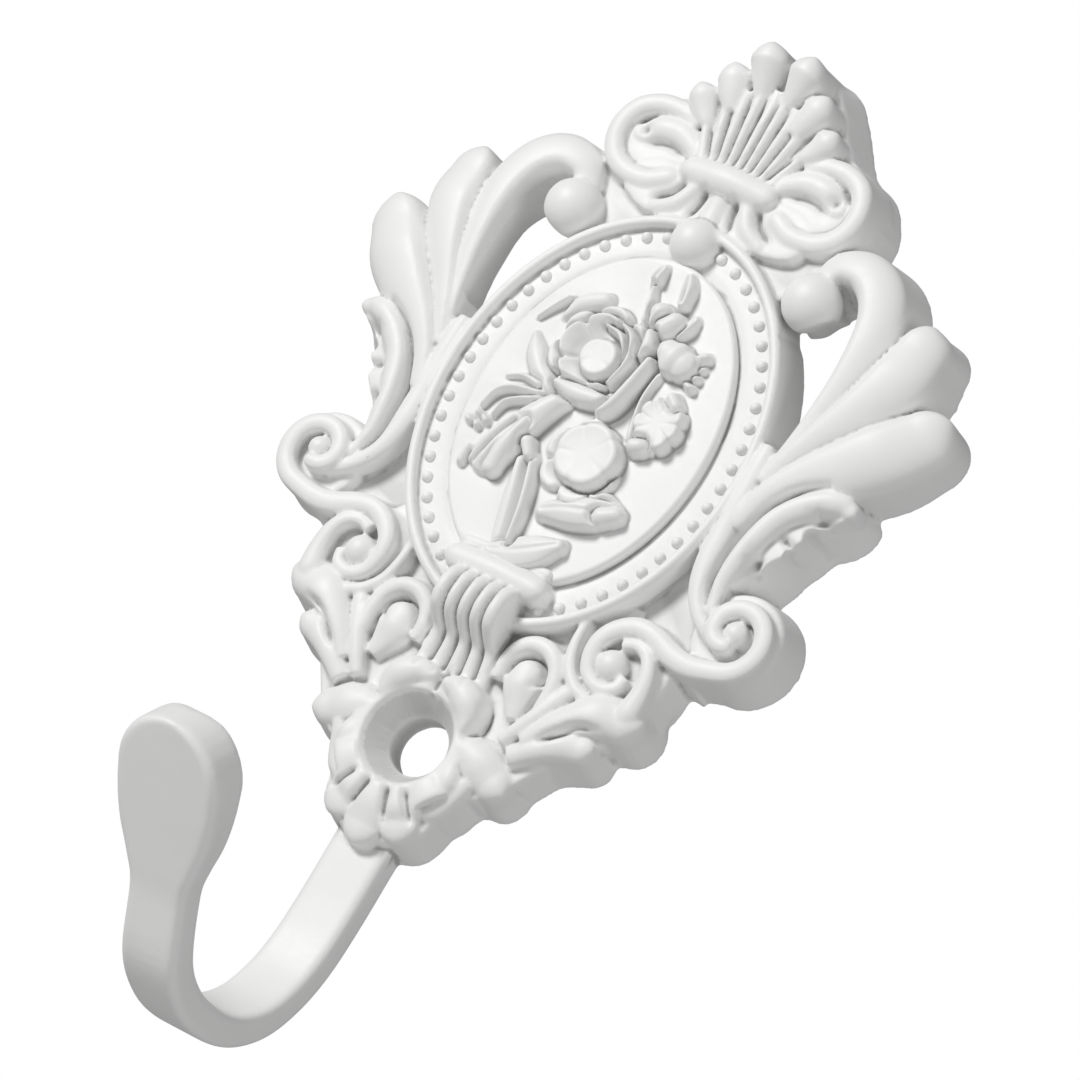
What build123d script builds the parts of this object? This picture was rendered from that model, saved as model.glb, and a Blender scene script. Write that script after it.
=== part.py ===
"""Ornamental coat hook, cast in one piece: oval cameo plate, scrollwork, shell with a screw hole, flat hook arm."""
import os
from math import cos, radians, sin, sqrt

from build123d import *

os.makedirs("parts", exist_ok=True)

# Frame in millimetres: the wall plane is y = 0, the front looks toward -Y, +Z is up and
# the origin is the screw hole's centre on the wall plane.

# oval cameo
oval_z = 34.1
bead_a = 15.25
bead_b = 19.5
bead_count = 52
bead_r = 0.66
bead_rise = 0.7
rim_out = 2.05
rim_in = 1.05
wall_flare = 0.4
gap_draw = 0.2
rim_h = 6.5
band_h = 5.4
field_in = 2.35
field_h = 6.3
oval_ball_r = 2.4
oval_ball_h = 5.6

# screw hole
bore_r = 2.9
mouth_r = 4.7
seat_h = 2.9
collar_h = 5.9
collar_r = mouth_r + 1.0

# hook arm
arm_half = 3.2
arm_thick = 2.8
arm_top = -3.0
tip_lean = 44.0
disc_r = 5.35
disc_y = -37.2
disc_z = -17.7
disc_thick = 4.5
edge_round = 0.65

# depth of the flat webs behind the carving
crown_h = 4.6
lower_h = 4.2


def ridge(points, widths, crests, foot=0.0, flare=0.2, dome=0.95, round_start=True, round_end=False, top="flat"):
    """A carved stroke: sections stand across its midline from foot to crest, with a soft, flat or sharp top."""
    line = [Vector(x, 0, z) for x, z in points]
    count = len(line)
    stations = []
    for i, spot in enumerate(line):
        ahead = line[min(i + 1, count - 1)] - line[max(i - 1, 0)]
        stations.append((spot, ahead.normalized(), widths[i], crests[i]))
    if round_start:
        spot, along, wide, high = stations[0]
        stations.insert(0, (spot - along * wide * 0.8, along, wide * 0.5, high - 0.3 * wide))
    if round_end:
        spot, along, wide, high = stations[-1]
        stations.append((spot + along * wide * 0.8, along, wide * 0.5, high - 0.3 * wide))
    with BuildPart() as stroke:
        for spot, along, wide, high in stations:
            across = Vector(-along.Z, 0, along.X)
            shoulder = max(high - dome * wide, foot + 0.3)
            base = wide + (flare * shoulder if foot == 0 else 0)
            with BuildSketch(Plane(origin=spot, x_dir=across, z_dir=along)):
                with BuildLine():
                    Line((-base, foot), (-wide, shoulder))
                    if top == "sharp":
                        Polyline((-wide, shoulder), (0, high), (wide, shoulder))
                    elif top == "soft":
                        rise = high - shoulder
                        Polyline((-wide, shoulder), (-0.8 * wide, shoulder + 0.6 * rise), (-0.3 * wide, high),
                                 (0.3 * wide, high), (0.8 * wide, shoulder + 0.6 * rise), (wide, shoulder))
                    else:
                        Polyline((-wide, shoulder), (-0.45 * wide, high), (0.45 * wide, high), (wide, shoulder))
                    Line((wide, shoulder), (base, foot))
                    Line((base, foot), (-base, foot))
                make_face()
        loft(ruled=True)
    return stroke.part


def knob(x, z, radius, centre, foot=0.0, flare=0.1, sides=8):
    """A ball on a drawn-in stalk, its dome and stalk made of flat facets."""
    levels = [(foot, radius + flare * (centre - foot)), (centre, radius), (centre + 0.6 * radius, 0.8 * radius),
              (centre + 0.95 * radius, 0.36 * radius)]
    with BuildPart() as ball:
        for level, size in levels:
            with BuildSketch(Plane.XZ.offset(level)):
                with Locations((x, z)):
                    RegularPolygon(size, sides)
        loft(ruled=True)
    return ball.part


def coil(cx, cz, start, end, r_start, r_end, steps):
    """Midline of a scroll: radius falls evenly from r_start to r_end as the angle runs."""
    spots = []
    for i in range(steps + 1):
        part = i / steps
        angle = radians(start + (end - start) * part)
        radius = r_start + (r_end - r_start) * part
        spots.append((cx + radius * cos(angle), cz + radius * sin(angle)))
    return spots


def even(first, last, count):
    """Values running evenly from first to last."""
    return [first + (last - first) * i / (count - 1) for i in range(count)]


# one side's leaf lobes, from the outside in
side = []
side.append(ridge([(29.7, 44.9), (27.4, 41.9), (24.7, 39.2), (21.9, 36.5), (19.8, 33.8), (18.5, 30.5)],
                  [2.9, 3.15, 2.6, 1.8, 1.2, 0.9], [6.6, 7.3, 7.2, 6.9, 6.6, 6.3], top="soft"))
side.append(ridge([(25.7, 51.8), (25.4, 48.4), (23.7, 44.7), (21.6, 41.0), (19.9, 37.8), (18.8, 35.0)],
                  [2.6, 2.6, 1.9, 1.2, 0.8, 0.45], [6.6, 7.3, 7.3, 7.0, 6.6, 6.2], top="soft"))
side.append(ridge([(13.6, 55.2), (14.9, 56.7), (17.2, 57.1), (19.3, 55.9), (20.6, 53.2), (20.9, 50.0),
                   (20.8, 46.0), (20.3, 42.0), (19.5, 38.6), (18.5, 36.0)],
                  [1.2, 1.5, 1.8, 1.9, 1.85, 1.7, 1.25, 0.9, 0.6, 0.4],
                  [6.4, 6.9, 7.2, 7.3, 7.3, 7.3, 7.1, 6.8, 6.4, 6.1], top="soft"))
# toothed leaf above the big scroll
side.append(ridge([(27.0, 35.9), (24.6, 34.9), (22.5, 32.6), (21.3, 29.6), (20.7, 26.6), (20.7, 24.0), (21.6, 21.8)],
                  [1.4, 1.9, 1.9, 1.6, 1.2, 0.9, 0.5], [5.9, 6.4, 6.5, 6.4, 6.3, 6.2, 6.0], top="soft"))
side.append(ridge([(24.6, 32.6), (22.8, 31.8), (21.4, 30.4)], [1.5, 1.7, 1.2], [5.2, 5.9, 5.9]))
side.append(ridge([(23.2, 29.6), (21.9, 28.8), (20.9, 27.5)], [1.3, 1.5, 1.0], [5.1, 5.7, 5.7]))
# narrow band that runs beside the oval into the scroll
side.append(ridge([(18.5, 31.0), (18.0, 28.0), (18.1, 25.0), (18.9, 22.6), (20.7, 20.4), (23.0, 19.0)],
                  [0.9, 0.8, 0.7, 0.65, 0.6, 0.5], [6.4, 6.3, 6.2, 6.2, 6.2, 6.0], foot=2.0, round_start=False,
                  top="sharp"))

# big scroll and the S band that joins it to the middle scroll
big_x = 24.1
big_z = 21.0
mid_x = 14.8
mid_z = 13.9
big_coil = coil(big_x, big_z, 270, -90, 1.35, 3.85, 10)
s_band = big_coil + [(21.7, 16.7), (19.6, 17.0), (17.6, 17.8), (15.6, 18.1), (13.8, 17.3), (12.8, 15.8), (12.8, 14.0)]
s_width = even(0.72, 1.0, 11) + [1.05, 1.05, 1.0, 0.95, 0.9, 0.85, 0.7]
s_crest = even(6.7, 6.5, 11) + [6.5] * 7
side.append(ridge(s_band, s_width, s_crest, foot=3.0, dome=0.8))

with BuildPart() as scroll_feet:
    with BuildSketch(Plane.XZ):
        with Locations((big_x + 0.1, big_z - 0.1)):
            Circle(5.0)
        with Locations((mid_x + 0.6, mid_z + 0.4)):
            Circle(4.8)
        with BuildLine():
            Polyline((22.0, 15.4), (17.0, 16.2), (12.0, 19.0), (15.5, 27.0), (15.5, 37.5), (18.0, 38.6), (20.0, 35.0),
                     (19.5, 27.0), (22.0, 22.0), close=True)
        make_face()
    extrude(amount=4.6, taper=12)
side.append(scroll_feet.part)
side.append(knob(big_x + 0.3, big_z + 0.3, 1.25, 5.3, foot=3.0))
side.append(knob(mid_x, mid_z, 1.75, 4.9, foot=3.0))
# second coil around the middle scroll and the thin band beside it
side.append(ridge([(18.7, 12.0), (18.6, 14.4), (17.7, 16.0), (16.2, 16.5), (14.8, 16.0)],
                  [0.75, 0.65, 0.6, 0.55, 0.5], [6.3, 6.3, 6.3, 6.3, 6.2], foot=2.0, top="sharp"))
side.append(ridge([(10.5, 16.4), (10.8, 14.2), (11.8, 12.5), (13.4, 11.5), (15.4, 11.2)],
                  [0.5, 0.55, 0.55, 0.55, 0.5], [5.9, 6.0, 6.0, 6.0, 5.9], foot=2.0, top="sharp"))
# lower leaf, two lobes and one stem
side.append(ridge([(17.9, 10.2), (15.7, 9.6), (13.7, 8.0), (12.0, 6.2), (10.4, 4.2)],
                  [2.1, 1.8, 1.2, 0.9, 0.7], [6.1, 6.5, 6.4, 6.1, 5.6]))
side.append(ridge([(15.3, 6.2), (13.8, 5.5), (12.0, 4.1), (9.8, 2.2)],
                  [1.4, 1.45, 1.15, 0.9], [5.6, 5.9, 5.8, 5.4]))
side.append(ridge([(11.3, 9.6), (10.2, 7.0), (8.6, 4.4)], [0.55, 0.6, 0.5], [5.8, 5.9, 5.6], foot=2.0, top="sharp"))
# small curl beside the tassel
side.append(ridge([(10.5, 8.2), (10.3, 10.8), (9.1, 12.4), (7.3, 12.8), (5.7, 12.1), (4.9, 10.6), (4.9, 8.8)],
                  [0.5, 0.55, 0.55, 0.55, 0.55, 0.5, 0.45], [5.8, 5.9, 6.0, 6.0, 6.0, 5.9, 5.7], foot=2.0, top="sharp"))
side.append(ridge([(7.1, 9.8), (7.6, 8.3), (8.3, 6.8)], [1.5, 1.4, 0.9], [6.0, 5.9, 5.5], foot=2.0))
# lumps around the screw hole
side.append(ridge([(9.2, -0.1), (7.6, 0.5), (5.6, 1.0)], [2.1, 2.0, 1.4], [5.3, 5.6, 5.6]))
side.append(ridge([(3.9, 3.9), (2.9, 5.0), (1.3, 5.6)], [1.1, 1.2, 0.9], [6.1, 6.3, 6.2], foot=2.0, round_end=True))
side.append(ridge([(5.3, -3.4), (5.5, -2.2), (5.6, -1.0)], [0.9, 0.95, 0.8], [5.5, 5.7, 5.6], round_end=True))
# crown: side curl, its inner leaf and the fan
side.append(ridge([(7.0, 58.4), (8.6, 57.8), (10.5, 57.8), (12.3, 58.7), (13.4, 60.4), (13.5, 62.4),
                   (12.5, 64.2), (10.6, 65.2), (8.4, 65.1), (6.4, 64.2)],
                  [0.9, 0.8, 0.75, 0.75, 0.8, 0.8, 0.8, 0.8, 0.75, 0.6],
                  [6.4, 6.3, 6.3, 6.4, 6.5, 6.6, 6.6, 6.5, 6.4, 6.2], foot=2.0))
side.append(ridge([(10.6, 61.7), (9.2, 62.8), (7.4, 63.0), (5.6, 62.3), (4.2, 61.0)],
                  [0.9, 1.05, 1.05, 0.9, 0.6], [6.1, 6.3, 6.3, 6.2, 6.0], foot=2.0))
side.append(ridge([(2.3, 55.9), (1.5, 57.2), (0.9, 58.6)], [0.7, 0.65, 0.6], [5.9, 6.1, 6.3], foot=2.0, top="sharp"))
for foot_x, top_x, top_z, high in [(1.1, 1.55, 70.7, 7.5), (2.2, 3.35, 68.2, 7.0), (3.3, 5.2, 66.0, 6.5)]:
    side.append(ridge([(foot_x, 60.8), ((foot_x + top_x) / 2, (60.8 + top_z) / 2), (top_x, top_z)],
                      [0.42, 0.5, 0.6], [6.3, (6.3 + high) / 2, high], foot=2.0, round_start=False, top="sharp"))
for ball_x, ball_z, ball_r, ball_h in [(2.1, 72.2, 1.8, 7.7), (4.6, 69.1, 1.6, 6.9), (6.9, 66.9, 1.45, 6.2)]:
    side.append(knob(ball_x, ball_z, ball_r, ball_h))
# ball at the inner end of the upper lobe
side.append(knob(13.8, 52.5, 2.75, 4.9))

# the right side's strokes as one body, mirrored to the left
with BuildPart() as right_side:
    add(side)

# everything that crosses the middle
with BuildPart() as middle:
    # oval body, its wall drawn in slightly toward the front
    for low, high, out_low, out_high in [(0, band_h, rim_out + wall_flare, rim_out),
                                         (band_h, rim_h, rim_out, rim_out - 0.55)]:
        with BuildSketch(Plane.XZ.offset(low)):
            with Locations((0, oval_z)):
                Ellipse(bead_a + out_low, bead_b + out_low)
        with BuildSketch(Plane.XZ.offset(high)):
            with Locations((0, oval_z)):
                Ellipse(bead_a + out_high, bead_b + out_high)
        loft()
    # flat webs of the crown and of the lower plate
    with BuildSketch(Plane.XZ):
        with BuildLine():
            Polyline((-12.0, 52.0), (-14.6, 58.0), (-15.2, 62.0), (-12.8, 65.9), (-9.4, 67.4), (-6.2, 71.4), (-3.2, 74.0),
                     (3.2, 74.0), (6.2, 71.4), (9.4, 67.4), (12.8, 65.9), (15.2, 62.0), (14.6, 58.0), (12.0, 52.0),
                     close=True)
        make_face()
    extrude(amount=crown_h, taper=9)
    with BuildSketch(Plane.XZ):
        with BuildLine():
            Polyline((-14.0, 20.0), (-18.0, 9.0), (-14.0, 4.0), (-9.8, -1.8), (-6.4, -3.5), (-5.8, -7.4), (-2.4, -9.8),
                     (2.4, -9.8), (5.8, -7.4), (6.4, -3.5), (9.8, -1.8), (14.0, 4.0), (18.0, 9.0), (14.0, 20.0),
                     close=True)
        make_face()
    extrude(amount=lower_h, taper=9)
    with BuildSketch(Plane.XZ):
        Circle(collar_r + 0.6)
    extrude(amount=collar_h, taper=6)


# shell flutes, tassel strands and the rolls that cross the middle
cross = []
for turn, reach, wide in [(0, 10.4, 1.7), (24, 9.4, 1.6), (-24, 9.4, 1.6), (47, 8.4, 1.4), (-47, 8.4, 1.4)]:
    side_x = sin(radians(turn))
    side_z = -cos(radians(turn))
    cross.append(ridge([(side_x * reach * 0.88, side_z * reach * 0.88), (side_x * 7.0, side_z * 7.0),
                        (side_x * 5.0, side_z * 5.0)], [wide, wide * 0.95, wide * 0.7], [5.6, 6.1, 6.0]))
for strand in range(-2, 3):
    x = strand * 1.4
    cross.append(ridge([(x, 16.4), (x, 15.2), (x, 13.2), (x, 11.6), (x * 1.05, 10.0), (x * 1.2, 6.4)],
                       [0.74, 0.76, 0.76, 0.76, 0.78, 0.85], [7.6, 8.8, 9.0, 8.2, 5.9, 4.9], foot=3.0,
                       round_start=False, top="sharp"))
cross.append(ridge([(-3.6, 16.9), (0, 16.9), (3.6, 16.9)], [1.1, 1.15, 1.1], [7.9, 8.1, 7.9], foot=4.0, round_end=True))
cross.append(ridge([(-3.5, 60.1), (0, 60.1), (3.5, 60.1)], [1.3, 1.4, 1.3], [7.0, 7.3, 7.0], foot=2.0, round_end=True))
cross.append(ridge([(0, 60.8), (0, 65.0), (0, 69.4)], [0.5, 0.55, 0.5], [6.3, 6.7, 7.0], foot=2.0, round_start=False,
                   top="sharp"))
cross.append(ridge([(0, 55.6), (0, 57.2), (0, 59.0)], [0.7, 0.65, 0.6], [6.2, 6.3, 6.4], foot=2.0, round_start=False,
                   top="sharp"))

# bouquet on the oval field
bed = field_h - 0.3


def petals(cx, cz, inner, outer, wide, high, count, start=90.0):
    """A ring of domed petals round a flower's centre."""
    ring = []
    for i in range(count):
        turn = radians(start + 360 * i / count)
        tip = (cx + outer * cos(turn), cz + outer * sin(turn))
        base = (cx + inner * cos(turn), cz + inner * sin(turn))
        ring.append(ridge([tip, base], [wide, wide * 0.8], [high, high - 0.25], foot=bed, dome=0.5))
    return ring


def leaf(points, wide, high=7.2):
    """A small leaf of the bouquet, widest in the middle."""
    count = len(points)
    widths = [wide * (0.5 + 0.5 * sin(radians(180 * i / (count - 1)))) for i in range(count)]
    return ridge(points, widths, [high] * count, foot=bed, dome=0.7, round_start=False, top="sharp")


bouquet = petals(-1.5, 39.4, 1.7, 3.0, 1.75, 7.9, 5, 60.0)
bouquet += petals(3.0, 30.2, 1.6, 2.7, 1.5, 7.7, 5, 100.0)
bouquet += petals(7.4, 35.8, 1.2, 2.1, 1.3, 7.5, 4, 60.0)
bouquet.append(leaf([(7.6, 43.9), (5.6, 42.9), (3.9, 41.3)], 2.1, 7.5))
bouquet.append(leaf([(3.3, 46.1), (2.4, 45.0), (1.6, 43.6)], 1.5, 7.6))
bouquet.append(leaf([(-1.2, 49.6), (-0.9, 47.8), (-0.3, 45.6)], 0.9))
bouquet.append(leaf([(2.0, 49.3), (2.4, 48.0), (2.2, 46.4)], 0.8))
bouquet.append(leaf([(-8.6, 43.3), (-7.0, 42.0), (-5.4, 41.0)], 1.2))
bouquet.append(leaf([(-7.3, 27.6), (-6.6, 30.2), (-4.4, 33.0), (-2.6, 35.4)], 1.9, 7.7))
bouquet.append(leaf([(-9.4, 31.6), (-8.3, 33.4), (-5.6, 34.4)], 0.8))
bouquet.append(leaf([(-1.4, 21.4), (-2.4, 24.6), (-3.6, 27.4)], 1.1))
bouquet.append(leaf([(-0.3, 20.4), (-0.5, 23.6), (0.3, 26.4)], 0.6, 7.4))
bouquet.append(leaf([(8.0, 26.6), (5.2, 25.6), (2.0, 24.6)], 1.6, 7.5))
bouquet.append(leaf([(4.6, 21.7), (2.8, 21.2), (0.6, 20.6)], 1.1))
bouquet.append(leaf([(2.8, 40.6), (2.7, 38.0), (1.9, 34.6)], 0.75, 7.4))

# hook arm: flat sections with cut corners stand across its midline from the plate to the tip
lean = radians(tip_lean)


def tip_spot(along_tip, thick):
    """Middle of the arm at a distance along the leaning tip face from the disc's centre."""
    return (disc_y - along_tip * sin(lean) + 0.5 * thick * cos(lean),
            disc_z + along_tip * cos(lean) + 0.5 * thick * sin(lean))


tip_sizes = [(-11.8, 3.1, arm_thick), (-9.0, 3.75, 3.0), (-6.0, 4.75, 3.5), (-3.0, 5.25, 4.0), (0.0, disc_r, disc_thick),
             (2.6, 4.7, disc_thick), (4.4, 3.1, disc_thick - 0.2), (disc_r, 1.3, disc_thick - 0.9)]
bend_top = -12.0
with BuildLine() as bend:
    Spline((-0.5 * arm_thick, bend_top), (-1.7, -17.3), (-2.3, -21.8), (-3.7, -25.6), (-6.2, -29.1), (-10.1, -31.4),
           (-14.8, -32.2), (-19.2, -31.7), (-23.4, -29.7), tip_spot(*tip_sizes[0][::2]),
           tangents=[(0, -1), (-sin(lean), cos(lean))])
sections = [(Vector(-0.5 * arm_thick, arm_top), Vector(0, -1), arm_half, arm_thick)]
bend_steps = 18
for i in range(bend_steps):
    sections.append((bend.line @ (i / bend_steps), bend.line % (i / bend_steps), arm_half, arm_thick))
for along_tip, half, thick in tip_sizes:
    sections.append((Vector(*tip_spot(along_tip, thick)), Vector(-sin(lean), cos(lean)), half, thick))
with BuildPart() as arm:
    for spot, along, half, thick in sections:
        with BuildSketch(Plane(origin=(0, spot.X, spot.Y), x_dir=(1, 0, 0), z_dir=(0, along.X, along.Y))):
            with BuildLine():
                side_y = 0.5 * thick
                cut = edge_round
                Polyline((half - cut, -side_y), (half, cut - side_y), (half, side_y - cut), (half - cut, side_y),
                         (cut - half, side_y), (-half, side_y - cut), (-half, cut - side_y), (cut - half, -side_y),
                         close=True)
            make_face()
    loft(ruled=True)



def gap_outline(level):
    """Corners of the gap beside the oval at a height off the wall plane; the gap is wider at the back."""
    back = 1 - level / rim_h
    offset = rim_out - gap_draw * back
    spots = []
    for z in (40.0, 42.8, 45.7, 48.6):
        spots.append(((bead_a + offset) * sqrt(1 - ((z - oval_z) / (bead_b + offset)) ** 2), z))
    for x, z, draw_x, draw_z in [(14.6, 49.7, -0.4, 1.0), (16.3, 51.0, -0.3, 1.0), (17.7, 52.2, 0.0, 1.0),
                                 (19.15, 50.0, 1.3, 0.2), (19.4, 46.0, 1.3, 0.0), (19.35, 42.5, 1.1, 0.0),
                                 (19.0, 40.4, 0.7, 0.0)]:
        spots.append((x + draw_x * back, z + draw_z * back))
    return spots


with BuildPart() as right_gap:
    for level in (-1.0, 8.5):
        with BuildSketch(Plane.XZ.offset(level)):
            with BuildLine():
                Polyline(*gap_outline(level), close=True)
            make_face()
    loft(ruled=True)
left_gap = mirror(right_gap.part, about=Plane.YZ)

with BuildLine() as bead_line:
    EllipticalCenterArc((0, 0), bead_a, bead_b, start_angle=90, arc_size=360)
bead_spots = [bead_line.line @ ((i + 0.5) / bead_count) for i in range(bead_count)]
left_side = mirror(right_side.part, about=Plane.YZ)
oval_ball = knob(0, oval_z + bead_b, oval_ball_r, oval_ball_h, foot=3.0, sides=12)
with BuildPart() as coat_hook:
    add([middle.part, right_side.part, left_side, arm.part] + cross)
    add([right_gap.part, left_gap], mode=Mode.SUBTRACT)
    # bead band sunk inside the rim, then the raised field
    with BuildSketch(Plane.XZ.offset(band_h)):
        with Locations((0, oval_z)):
            Ellipse(bead_a + rim_in, bead_b + rim_in)
        with Locations((0, oval_z - bead_b - rim_in)):
            Rectangle(9.6, 9.0, mode=Mode.SUBTRACT)
    extrude(amount=4, mode=Mode.SUBTRACT)
    for level, inset in [(band_h - 0.3, -0.25), (field_h, 0.0)]:
        with BuildSketch(Plane.XZ.offset(level)):
            with Locations((0, oval_z)):
                Ellipse(bead_a - field_in - inset, bead_b - field_in - inset)
    loft()
    with BuildSketch(Plane.XZ.offset(band_h - 0.2)):
        with Locations(*[(p.X, p.Y + oval_z) for p in bead_spots]):
            RegularPolygon(bead_r + 0.1, 5)
    extrude(amount=bead_rise + 0.2, taper=24)
    add(oval_ball)
    add(bouquet)
    # screw hole with its countersunk mouth
    with BuildSketch(Plane.XZ):
        Circle(bore_r)
    extrude(amount=seat_h + 1, mode=Mode.SUBTRACT)
    with BuildSketch(Plane.XZ.offset(seat_h)):
        Circle(bore_r + 0.2)
    with BuildSketch(Plane.XZ.offset(collar_h)):
        Circle(mouth_r)
    with BuildSketch(Plane.XZ.offset(collar_h + 4)):
        Circle(mouth_r + 0.6)
    loft(ruled=True, mode=Mode.SUBTRACT)

coat_hook.part.label = "coat_hook"
export_step(coat_hook.part, "parts/coat_hook.step")
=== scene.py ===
from math import cos, pi, radians, sin

import bpy
import numpy as np
from mathutils import Matrix, Vector


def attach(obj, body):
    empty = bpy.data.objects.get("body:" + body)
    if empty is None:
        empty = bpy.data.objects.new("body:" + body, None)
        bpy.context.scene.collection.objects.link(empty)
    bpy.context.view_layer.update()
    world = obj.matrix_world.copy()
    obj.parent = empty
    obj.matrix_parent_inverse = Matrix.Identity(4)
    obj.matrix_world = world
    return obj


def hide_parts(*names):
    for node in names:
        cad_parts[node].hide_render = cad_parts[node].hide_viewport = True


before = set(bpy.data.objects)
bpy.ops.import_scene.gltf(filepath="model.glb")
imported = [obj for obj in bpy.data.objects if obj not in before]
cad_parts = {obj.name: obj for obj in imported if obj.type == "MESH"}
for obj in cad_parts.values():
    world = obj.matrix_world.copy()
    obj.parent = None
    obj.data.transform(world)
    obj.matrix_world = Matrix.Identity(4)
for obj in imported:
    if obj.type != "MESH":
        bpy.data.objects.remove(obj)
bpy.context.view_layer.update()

# The hook is modelled in millimetres: x across, z up, and "high" is how far a spot stands off the wall.
# It is brought to metres at the end. Rows of a stroke are x, z, half width, crest height.

casting = {
    "voxel": 0.165,       # mm, fineness of the fused skin
    "paintPasses": 2,     # how often the paint is smoothed over the creases
    "backPasses": 12,     # how often the outline at the wall is evened out
    "backBand": 1.3,      # mm off the wall, up to where that happens
    "armPasses": 8,       # how often the plain arm is evened out
    "armBelow": -10.5,    # z under which there is only the arm
    "triangles": 186000,
    "frontFrom": 3.4,     # mm off the wall, below this nothing is carved
    "frontFade": 1.5,     # mm over which the carving sets in
}

oval = {
    "z": 34.1,
    "a": 15.25,           # half axes of the bead line
    "b": 19.5,
    "beads": 52,
    "beadRadius": 0.56,
    "rimOut": 2.05,       # how far the rim's two sides lie outside the bead line
    "rimIn": 1.05,
    "rimHigh": 6.5,
    "bandHigh": 5.4,      # the channel that the beads sit in
    "fieldIn": 2.35,      # how far the field's edge lies inside the bead line
    "fieldHigh": 6.3,
    "flare": 0.35,        # how much wider the plate is at the wall
}


class Skin:
    def __init__(self):
        self.spots = []
        self.faces = []
        self.count = 0

    def rings(self, loops, mirrored=False):
        # closed skin over a row of loops, all with the same number of spots
        loops = np.array(loops, float)
        if mirrored:
            loops = loops * np.array([-1.0, 1.0, 1.0])
        rows, size = loops.shape[:2]
        start = self.count
        self.spots.append(loops.reshape(-1, 3))
        for r in range(rows - 1):
            for i in range(size):
                j = (i + 1) % size
                a = start + r * size
                self.faces.append((a + i, a + j, a + size + j, a + size + i))
        self.faces.append(tuple(start + i for i in range(size))[::-1])
        self.faces.append(tuple(start + (rows - 1) * size + i for i in range(size)))
        self.count += rows * size

    def mesh(self, name):
        data = bpy.data.meshes.new(name)
        data.from_pydata(np.concatenate(self.spots).tolist(), [], self.faces)
        data.update()
        return data


def smoothRows(rows, steps=5):
    # a soft curve through the rows, every column carried along
    rows = np.array(rows, float)
    ends = np.vstack([2 * rows[0] - rows[1], rows, 2 * rows[-1] - rows[-2]])
    out = []
    for i in range(len(rows) - 1):
        p0, p1, p2, p3 = ends[i:i + 4]
        for t in np.arange(steps) / steps:
            out.append(0.5 * (2 * p1 + (p2 - p0) * t + (2 * p0 - 5 * p1 + 4 * p2 - p3) * t ** 2
                              + (3 * p1 - p0 - 3 * p2 + p3) * t ** 3))
    out.append(rows[-1])
    return np.array(out)


clay = Skin()

ridge = {
    "leastHalf": 0.15,    # mm, half width where a stroke runs out
    "leastWall": 0.3,     # mm, wall left under the dome
    "capDrop": 0.55,      # fall of the crest over a rounded end, in half widths
    "capAngles": [84, 72, 58, 44, 28, 12],
    "across": 21,         # spots over the dome
}


def addClay(loops, both):
    # both adds the mirror image too
    clay.rings(loops)
    if both:
        clay.rings(loops, mirrored=True)


def cap(station, way):
    # stations of a rounded end, the outermost first; way is -1 before the stroke and 1 after it
    x, z, wide, high, a = station[:5]
    out = []
    for angle in ridge["capAngles"]:
        q = radians(angle)
        out.append((x + way * a[0] * wide * sin(q), z + way * a[1] * wide * sin(q), wide * cos(q),
                    high - ridge["capDrop"] * wide * (1 - cos(q)), a, wide, way * angle))
    return out


def stroke(rows, foot=0.0, flare=0.18, dome=0.95, skew=0.0, startRound=True, endRound=False, both=False, power=0.5):
    # a carved ridge: dome on top of two drafted walls, its crest moved aside by skew
    path = smoothRows(rows)
    along = np.gradient(path[:, :2], axis=0)
    along /= np.maximum(np.linalg.norm(along, axis=1, keepdims=True), 1e-9)
    path[:, 2] = np.maximum(path[:, 2], ridge["leastHalf"])
    stations = [(p[0], p[1], p[2], p[3], a, p[2], 0) for p, a in zip(path, along)]
    if startRound:
        stations = cap(stations[0], -1) + stations
    if endRound:
        stations = stations + cap(stations[-1], 1)[::-1]
    u = np.sin(np.linspace(-pi / 2, pi / 2, ridge["across"]))
    bent = np.where(u < skew, (u - skew) / (1 + skew), (u - skew) / (1 - skew))
    top = np.clip(1 - bent ** 2, 0, 1) ** power
    loops = []
    for x, z, wide, high, a, full, q in stations:
        shoulder = max(high - dome * full, foot + ridge["leastWall"])
        level = shoulder + (high - shoulder) * top
        spread = flare * (shoulder - foot)
        base = wide + spread * cos(radians(q))
        offset = np.concatenate([[-base], u * wide, [base]])
        push = np.concatenate([[1.0], np.zeros(len(u)), [1.0]]) * spread * sin(radians(q))
        level = np.concatenate([[foot], level, [foot]])
        loops.append(np.stack([x - a[1] * offset + a[0] * push, -level, z + a[0] * offset + a[1] * push], axis=1))
    addClay(loops, both)


def knob(x, z, radius, centre, foot=0.0, flare=0.14, under=-0.1, both=False):
    # a ball on a stalk that widens toward the wall; under says how far the ball closes below its middle
    turn = np.linspace(0, 2 * pi, 32, endpoint=False)
    low = centre + radius * sin(under)
    sizes = [(foot, radius * cos(under) + flare * (low - foot))]
    sizes += [(centre + radius * sin(q), radius * cos(q)) for q in np.linspace(under, 1.5, 12)]
    loops = [np.stack([x + r * np.cos(turn), np.full(32, -h), z + r * np.sin(turn)], axis=1) for h, r in sizes]
    addClay(loops, both)


def coil(cx, cz, start, end, first, last, steps):
    # spots from one angle to another round a middle, the radius running from first to last
    part = np.linspace(0, 1, steps + 1)
    angle = np.radians(start + (end - start) * part)
    radius = first + (last - first) * part
    return np.stack([cx + radius * np.cos(angle), cz + radius * np.sin(angle)], axis=1)


def withSize(spots, wide, high):
    # adds half width and crest, each running evenly from its first to its last value
    spots = np.array(spots, float)
    n = len(spots)
    return np.column_stack([spots, np.linspace(wide[0], wide[1], n), np.linspace(high[0], high[1], n)]).tolist()


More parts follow.
